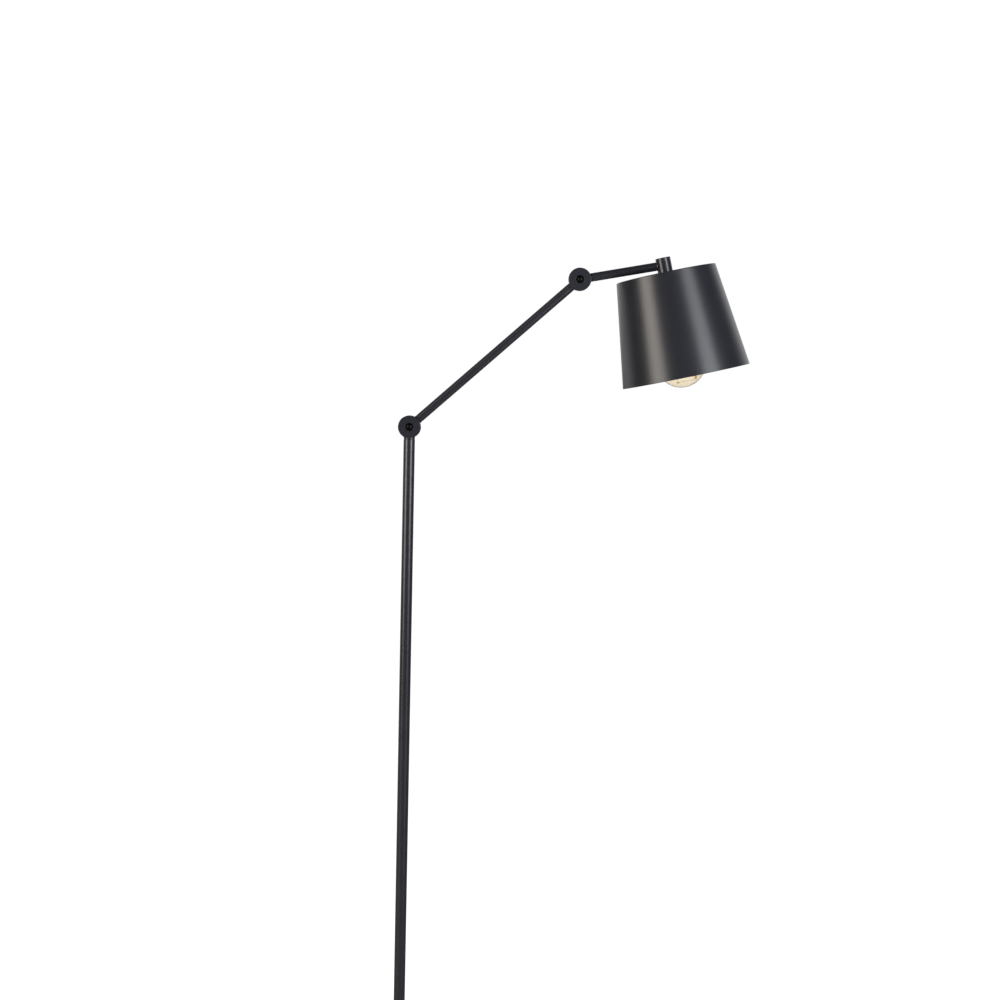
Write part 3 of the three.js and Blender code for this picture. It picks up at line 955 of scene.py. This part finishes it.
def pivot_nut():
    nut = hexagon(8.0, 4.4, 7.9, 0.45)
    nut.transform(ALONG_Y)
    nut = boolean(
        nut,
        lathe([(0, 0), (2.8, 0), (2.8, 7.5), (3.1, 8.2), (0, 8.2)], 48, ALONG_Y),
        "DIFFERENCE",
    )
    return nut


for n, body, place in ((1, "lower_arm", F_LOWER), (2, "head", F_UPPER)):
    finish(
        button_screw(),
        f"pivot_screw_{n}",
        body,
        place,
        BLACK_OXIDE,
        "black_steel",
        f"knuckle_{n}_screw",
        )
    finish(
        pivot_nut(),
        f"pivot_nut_{n}",
        body,
        place,
        BLACK_OXIDE,
        "black_steel",
        f"knuckle_{n}_nut",
        )

# ---------------------------------------------------------------- arms

ARM_R, ARM_WALL = 6.0, 1.0
finish(
    tube(ARM_R, ARM_WALL, ARM_START + 0.3, LOWER_ARM - ARM_START - 0.3, ALONG_X),
    "arm_lower_tube",
    "lower_arm",
    F_LOWER,
    LIGHTENED_PAINT,
    "paint",
    "lower_arm_tube",
)
PLUG_X = UPPER_ARM - 10.6
finish(
    tube(ARM_R, ARM_WALL, ARM_START + 0.3, PLUG_X - 0.3, ALONG_X, edge=0.15),
    "arm_upper_tube",
    "head",
    F_UPPER,
    LIGHTENED_PAINT,
    "paint",
    "upper_arm_tube",
)
finish(
    lathe(
        [
            (2.3, PLUG_X - 13),
            (4.7, PLUG_X - 13, 0.4),
            (4.7, PLUG_X),
            (6.1, PLUG_X, 0.12),
            (6.6, PLUG_X + 0.8, 0.4),
            (6.6, UPPER_ARM - 9.4),
            (3.9, UPPER_ARM - 9.4),
            (3.9, UPPER_ARM - 6.3),
            (2.3, UPPER_ARM - 6.3),
        ],
        96,
        ALONG_X,
    ),
    "arm_collar",
    "head",
    F_UPPER,
    LIGHTENED_PAINT,
    "paint",
    "upper_arm_end_plug",
)

# ---------------------------------------------------------------- hub and shade

HUB_R, HUB_TOP, SHADE_TOP = 10.5, 10.66, 11.5
hub = lathe(
    [
        (0, HUB_TOP),
        (HUB_R, HUB_TOP, 0.55),
        (HUB_R, -SHADE_TOP + 0.3, 0.3),
        (5.1, -SHADE_TOP + 0.3),
        (5.1, -4),
        (6.2, -4),
        (6.2, 7),
        (0, 7),
    ],
    160,
)
for r, a, b in ((7.0, -20, -9), (4.3, -20, -5)):
    hub = boolean(
        hub,
        lathe([(0, a), (r, a), (r, b), (0, b)], 96, turn(HEAD_CANT, "Y") @ ALONG_X),
        "DIFFERENCE",
    )
finish(hub, "shade_hub", "head", F_HEAD, LIGHTENED_PAINT, "paint", "head_hub")

SHADE_H, R_TOP, R_RIM, SHEET = 146.0, 70.0, 90.0, 0.8
slope = (R_RIM - R_TOP) / SHADE_H
level = math.hypot(1, slope) * SHEET
RIM = -SHADE_TOP - SHADE_H
shade_profile = [
    (5.3, -SHADE_TOP),
    (R_TOP, -SHADE_TOP, 1.3),
    (R_RIM, RIM, 0.36),
    (R_RIM - level, RIM, 0.36),
    (R_TOP + SHEET * slope - level, -SHADE_TOP - SHEET, 0.7),
    (5.3, -SHADE_TOP - SHEET),
]
shade_bm = lathe(shade_profile, 320)
for f in shade_bm.faces:  # the inside is coated white
    c = f.calc_center_median()
    inward = -(f.normal.x * c.x + f.normal.y * c.y) / math.hypot(c.x, c.y)
    if inward > 0.6 or (f.normal.z < -0.6 and c.z > RIM / 2):
        f.material_index = 1
finish(
    shade_bm,
    "shade_shell",
    "head",
    F_HEAD,
    (SHADE_PAINT, INSIDE_WHITE),
    "shade_paint",
    "shade",
)

under = -SHADE_TOP - SHEET - 0.3
finish(
    lathe([(5.1, under - 1.2), (11, under - 1.2, 0.3), (11, under, 0.2), (5.1, under)], 96),
    "shade_washer_plate",
    "head",
    F_HEAD,
    ZINC,
    "zinc_steel",
    "shade_washer",
)
nut = hexagon(14.0, under - 4.5, under - 1.5, 0.6)
nut = boolean(nut, lathe([(0, -40), (5.1, -40), (5.1, 0), (0, 0)], 64), "DIFFERENCE")
finish(
    nut,
    "shade_lock_nut",
    "head",
    F_HEAD,
    ZINC,
    "zinc_steel",
    "shade_nut",
)

# ---------------------------------------------------------------- lampholder and lamp


def at(s):
    """Height in the lampholder's frame of a point s below the upper arm's axis."""
    return -(s - HANG)


finish(
    lathe(
        [
            (5.3, 0, 0.3),
            (7.6, 0, 0.5),
            (7.6, -5, 1.0),
            (12, -7.4, 3.0),
            (17, -10.6, 3.0),
            (19.2, -14, 2.0),
            (19.6, -17, 0.6),
            (19.6, -21.6, 0.4),
            (17.8, -21.6, 0.2),
            (17.8, -17, 1.0),
            (15.6, -12.2, 1.0),
            (10.6, -8.8, 1.0),
            (5.3, -6.8, 0.3),
        ],
        128,
    ),
    "socket_dome",
    "head",
    F_HOLDER,
    THERMOSET,
    "holder_plastic",
    "holder_cap",
)
# skirt with grip flutes
skirt = [(17.2, -21.9, 0.2), (19.6, -21.9, 0.4)]
z = -24.0
while z > -33.0:
    skirt += [(19.6, z, 0.2), (19.15, z - 0.45, 0.2), (19.6, z - 0.9, 0.2)]
    z -= 1.8
skirt += [
    (19.6, -34, 0.6),
    (18.6, -57.6, 0.7),
    (16.4, -57.6, 0.5),
    (17.2, -34, 0.6),
]
finish(
    lathe(skirt, 128),
    "socket_skirt",
    "head",
    F_HOLDER,
    THERMOSET,
    "holder_plastic",
    "holder_body",
)
insert = lathe([(0, -29), (16.8, -29, 0.6), (16.8, -22.6, 0.6), (0, -22.6)], 96)
for x in (8, -8):
    insert = boolean(
        insert,
        lathe([(0, -40), (2, -40), (2, -10), (0, -10)], 32, move(x)),
        "DIFFERENCE",
    )
finish(
    insert,
    "socket_ceramic",
    "head",
    F_HOLDER,
    CERAMIC,
    "ceramic",
    "holder_insert",
)


def threaded(r_outer, r_inner, z0, z1, pitch, wall_at):
    """A rolled screw shell in profile: round crests and troughs, one ring per turn."""
    points = []
    turns = int((z1 - z0) / pitch)
    for i in range(turns * 8 + 1):
        z = z0 + i * pitch / 8
        w = 0.5 - 0.5 * math.cos(2 * math.pi * i / 8)
        points.append((r_inner + (r_outer - r_inner) * w, z))
    return points


shell = threaded(14.3, 13.95, -53.2, -30.2, 3.6, 0)
shell = (
    [(13.8, -54), (14.3, -54)]
    + shell
    + [(14.3, -29.3), (13.8, -29.3)]
)
finish(
    lathe(shell, 96),
    "socket_shell",
    "head",
    F_HOLDER,
    BRASS,
    "brass",
    "holder_shell",
)

cap = [
    (0, at(49.1)),
    (4.4, at(49.1), 0.6),
    (4.8, at(50.5)),
    (9.6, at(52.1), 0.8),
    (12.4, at(54.5), 0.8),
]
for i in range(6):
    s = 55.8 + 3.1 * i
    cap += [(13.2, at(s), 0.5), (13.2, at(s + 1.0), 0.5), (12.5, at(s + 2.0), 0.5)]
cap += [(13.2, at(74.6), 0.3), (13.2, at(76), 0.15), (12.8, at(76)), (12.8, at(60)), (0, at(60))]
finish(
    lathe(cap, 96),
    "lamp_cap",
    "head",
    F_HOLDER,
    CAP_METAL,
    "brass",
    "bulb_cap",
)

BULB_R, BULB_S = 35.0, 137.5


def glass_profile(inset):
    """The envelope from the neck in the cap to the tip, as one smooth curve."""
    R = BULB_R - inset
    neck = [(12.4 - inset, 63), (12.4 - inset, 72), (12.5 - inset, 76.5)]
    start = -46
    a = math.radians(start)
    join = Vector((R * math.cos(a), BULB_S + R * math.sin(a)))
    tangent = Vector((-math.sin(a), math.cos(a)))  # direction of rising angle
    p0, p3 = Vector((12.5 - inset, 77.5)), join
    p1, p2 = p0 + Vector((0, 11)), p3 - Vector((abs(tangent.x), abs(tangent.y))) * 11
    points = list(neck)
    for i in range(13):
        t = i / 12
        q = (
            p0 * (1 - t) ** 3
            + p1 * 3 * t * (1 - t) ** 2
            + p2 * 3 * t * t * (1 - t)
            + p3 * t**3
        )
        points.append((q.x, q.y))
    for i in range(1, 46):
        w = math.radians(start + (90 - start) * i / 45)
        points.append((0 if i == 45 else R * math.cos(w), BULB_S + R * math.sin(w)))
    return points


outer = [(r, at(s)) for r, s in glass_profile(0)]
inner = [(r, at(s)) for r, s in glass_profile(0.35)]
finish(
    lathe(outer[::-1] + inner, 160),
    "lamp_globe",
    "head",
    F_HOLDER,
    BULB_GLASS,
    "bulb_glass",
    "bulb_glass",
    sharp=60,
)

# the stem and four coated filaments on wire arms
stem = lathe(
    [
        (0, at(64)),
        (9, at(64), 1.5),
        (8.4, at(68), 3.0),
        (4.2, at(77), 3.0),
        (2.6, at(86), 1.0),
        (2.4, at(108), 0.8),
        (0.7, at(110), 0.6),
        (0.7, at(165), 0.4),
        (0, at(165)),
    ],
    64,
)
finish(
    stem,
    "lamp_stem",
    "head",
    F_HOLDER,
    STEM_GLASS,
    "bulb_glass",
    "bulb_filament",
    sharp=60,
)
wires, strips = [], []
for x, low in ((-1, Vector((-9.2, 0, at(164.3)))), (1, Vector((16.4, 0, at(162.6))))):
    for y in (-1, 1):
        high = Vector((0, 9.0 * y, at(112)))
        end = low + (Vector((2.1 * y, y, 0.6 - 0.6 * y)) if x > 0 else Vector())
        along = (end - high).normalized()
        coated = end - along * (1.4 if x > 0 else 8.0)
        strips.append(bar(high + along * 1.2, coated, 1.5, 1.5, 24))
        wires.append(bar(high - along * 0.2, high + along * 1.6, 0.4, 0.4, 12))
        wires.append(bar(coated - along * 0.5, end + along * 0.2, 0.2, 0.2, 12))
    width = Vector((1.7 if x > 0 else 1.5, 0, 0))
    strips.append(bar(low - width, low + width, 1.1, 1.1, 24))
    wires.append(sweep([(0, 0, at(163.4)), (6 * x, 0, at(164.3)), low], 0.2, 12))
    high = (0, 9.0 * x, at(112))
    wires.append(sweep([(0, 0, at(106.6)), (0, 5.5 * x, at(108.4)), high], 0.3, 12))
finish(
    merge(*strips),
    "lamp_filaments",
    "head",
    F_HOLDER,
    PHOSPHOR,
    "filament",
    sharp=60,
)
finish(
    merge(*wires),
    "lamp_wires",
    "head",
    F_HOLDER,
    WIRE,
    "zinc_steel",
    sharp=60,
)

# ---------------------------------------------------------------- hidden pieces keep their CAD shape

HIDDEN = {
    IRON: ["base_weight"],
    ZINC: [
        "base_washer",
        "base_nut",
        "base_nipple",
        "head_nipple",
        "knuckle_1_stop_pin",
        "knuckle_2_stop_pin",
        "knuckle_1_disc_spring",
        "knuckle_2_disc_spring",
    ],
    FIBRE: ["knuckle_1_friction_washer", "knuckle_2_friction_washer"],
    SLEEVE: ["stand_lead", "lower_arm_lead", "upper_arm_lead"],
    BRASS: ["holder_contact"],
}
for material, nodes in HIDDEN.items():
    for name in nodes:
        o = frame["nodes"][name]
        if not o.material_slots:
            o.data.materials.append(material)
        for s in o.material_slots:
            s.material = material

# ---------------------------------------------------------------- stage, light and camera


def seen_directly(tree):
    """1 for what the camera sees directly or through glass."""
    path = tree.nodes.new("ShaderNodeLightPath")
    either = tree.nodes.new("ShaderNodeMath")
    either.operation = "MAXIMUM"
    tree.links.new(path.outputs["Is Camera Ray"], either.inputs[0])
    tree.links.new(path.outputs["Is Transmission Ray"], either.inputs[1])
    return either.outputs[0]


floor_mesh = bpy.data.meshes.new("floor")
bm = bmesh.new()
bmesh.ops.create_circle(bm, cap_ends=True, radius=60, segments=96)
bm.to_mesh(floor_mesh)
bm.free()
floor = bpy.data.objects.new("floor", floor_mesh)
scene.collection.objects.link(floor)
floor_material = bpy.data.materials.new("pale_floor")
floor_material.use_nodes = True
tree = floor_material.node_tree
tree.nodes.remove(tree.nodes["Principled BSDF"])
out = tree.nodes["Material Output"]
diffuse = tree.nodes.new("ShaderNodeBsdfDiffuse")
diffuse.inputs["Color"].default_value = (0.5, 0.5, 0.5, 1)
floor_glow = tree.nodes.new("ShaderNodeEmission")
floor_glow.inputs["Color"].default_value = (1, 1, 1, 1)
place = tree.nodes.new("ShaderNodeTexCoord")
reach = tree.nodes.new("ShaderNodeVectorMath")
reach.operation = "LENGTH"
tree.links.new(place.outputs["Object"], reach.inputs[0])
# The floor's directly seen glow is weaker near the foot than further out: a painted darker pool of shade round the
# foot.
glow_dimmed_near_foot = tree.nodes.new("ShaderNodeMapRange")
glow_dimmed_near_foot.interpolation_type = "SMOOTHSTEP"
tree.links.new(reach.outputs["Value"], glow_dimmed_near_foot.inputs["Value"])
for socket, value in (
    ("From Min", 0.15),
    ("From Max", 1.1),
    ("To Min", 0.52),
    ("To Max", 0.97),
):
    glow_dimmed_near_foot.inputs[socket].default_value = value
gain = tree.nodes.new("ShaderNodeMath")
gain.operation = "MULTIPLY"
tree.links.new(seen_directly(tree), gain.inputs[0])
tree.links.new(glow_dimmed_near_foot.outputs[0], gain.inputs[1])
tree.links.new(gain.outputs[0], floor_glow.inputs["Strength"])
add = tree.nodes.new("ShaderNodeAddShader")
tree.links.new(diffuse.outputs[0], add.inputs[0])
tree.links.new(floor_glow.outputs[0], add.inputs[1])
under_side = tree.nodes.new("ShaderNodeNewGeometry")
clear = tree.nodes.new("ShaderNodeBsdfTransparent")
mix = tree.nodes.new("ShaderNodeMixShader")
foot_spot = tree.nodes.new("ShaderNodeMath")  # open under the foot, which light must reach
foot_spot.operation = "LESS_THAN"
tree.links.new(reach.outputs["Value"], foot_spot.inputs[0])
foot_spot.inputs[1].default_value = 0.12
either = tree.nodes.new("ShaderNodeMath")
either.operation = "MAXIMUM"
tree.links.new(under_side.outputs["Backfacing"], either.inputs[0])
tree.links.new(foot_spot.outputs[0], either.inputs[1])
tree.links.new(either.outputs[0], mix.inputs[0])
tree.links.new(add.outputs[0], mix.inputs[1])
tree.links.new(clear.outputs[0], mix.inputs[2])
tree.links.new(mix.outputs[0], out.inputs["Surface"])
floor_mesh.materials.append(floor_material)

world = bpy.data.worlds.new("studio")
scene.world = world
world.use_nodes = True
tree = world.node_tree
background = tree.nodes["Background"]
coords = tree.nodes.new("ShaderNodeTexCoord")
split = tree.nodes.new("ShaderNodeSeparateXYZ")
tree.links.new(coords.outputs["Generated"], split.inputs[0])
sweep_light = tree.nodes.new("ShaderNodeMapRange")
sweep_light.interpolation_type = "SMOOTHSTEP"
tree.links.new(split.outputs["Y"], sweep_light.inputs["Value"])
for socket, value in (
    ("From Min", 0.32),
    ("From Max", 0.75),
    ("To Min", 0.1),
    ("To Max", 1.0),
):
    sweep_light.inputs[socket].default_value = value
top = tree.nodes.new("ShaderNodeMapRange")
top.interpolation_type = "SMOOTHSTEP"
tree.links.new(split.outputs["Z"], top.inputs["Value"])
for socket, value in (
    ("From Min", 0.35),
    ("From Max", 0.8),
    ("To Min", 1.0),
    ("To Max", 0.25),
):
    top.inputs[socket].default_value = value
shape = tree.nodes.new("ShaderNodeMath")
shape.operation = "MULTIPLY"
tree.links.new(sweep_light.outputs[0], shape.inputs[0])
tree.links.new(top.outputs[0], shape.inputs[1])
pick = tree.nodes.new("ShaderNodeMix")
pick.data_type = "FLOAT"
tree.links.new(seen_directly(tree), pick.inputs[0])
tree.links.new(shape.outputs[0], pick.inputs[2])
pick.inputs[3].default_value = 1.02
tree.links.new(pick.outputs[0], background.inputs["Strength"])
background.inputs["Color"].default_value = (1, 1, 1, 1)


def soft_box(name, place, target, width, height, radiance, colour):
    data = bpy.data.lights.new(name, "AREA")
    data.shape = "RECTANGLE"
    data.size, data.size_y = width, height
    data.energy = radiance * math.pi * width * height
    data.color = colour
    o = bpy.data.objects.new(name, data)
    scene.collection.objects.link(o)
    o.location = place
    o.rotation_euler = (
        (Vector(target) - Vector(place)).to_track_quat("-Z", "Y").to_euler()
    )
    return o


WARM, COOL = (1.0, 0.93, 0.84), (0.93, 0.97, 1.0)
soft_box("left_box", (-2.76, -2.08, 1.71), (0.1, 0, 1.71), 1.7, 2.1, 7.3, WARM)
soft_box("left_low", (-2.75, -2.07, 1.0), (0.1, 0, 1.0), 1.7, 0.4, 2.2, WARM)
soft_box("right_box", (1.36, -1.23, 1.37), (0.2, 0, 1.37), 0.78, 0.86, 9.7, COOL)
soft_box("right_high", (1.36, -1.23, 2.15), (0.2, 0, 2.15), 0.78, 0.7, 4.5, COOL)
soft_box("right_low", (1.38, -1.21, 0.48), (0.2, 0, 0.48), 0.7, 0.8, 0.85, COOL)
soft_box("left_top", (-0.86, -0.72, 2.4), (0.1, 0, 1.34), 0.8, 0.9, 0.65, (1, 1, 1))
soft_box("back_card", (-1.5, 1.65, 0.75), (0.0, 1.65, 0.75), 1.9, 1.1, 0.5, (1, 1, 1))

camera_data = bpy.data.cameras.new("camera")
camera_data.sensor_width = 36
camera_data.lens = 64.8
camera_data.clip_start, camera_data.clip_end = 0.05, 200
camera = bpy.data.objects.new("camera", camera_data)
scene.collection.objects.link(camera)
pitch, roll = math.radians(3.93), math.radians(1.23)
fwd = Vector((0, math.cos(pitch), -math.sin(pitch)))
right = Vector((1, 0, 0))
up = right.cross(fwd)
r2 = right * math.cos(roll) + up * math.sin(roll)
u2 = -right * math.sin(roll) + up * math.cos(roll)
camera.matrix_world = Matrix(
    (
        (r2.x, u2.x, -fwd.x, 0.12917),
        (r2.y, u2.y, -fwd.y, -2.52714),
        (r2.z, u2.z, -fwd.z, K1.z * MM + 0.07336),
        (0, 0, 0, 1),
    )
)
scene.camera = camera
scene.view_settings.view_transform = "Standard"
scene.view_settings.look = "None"
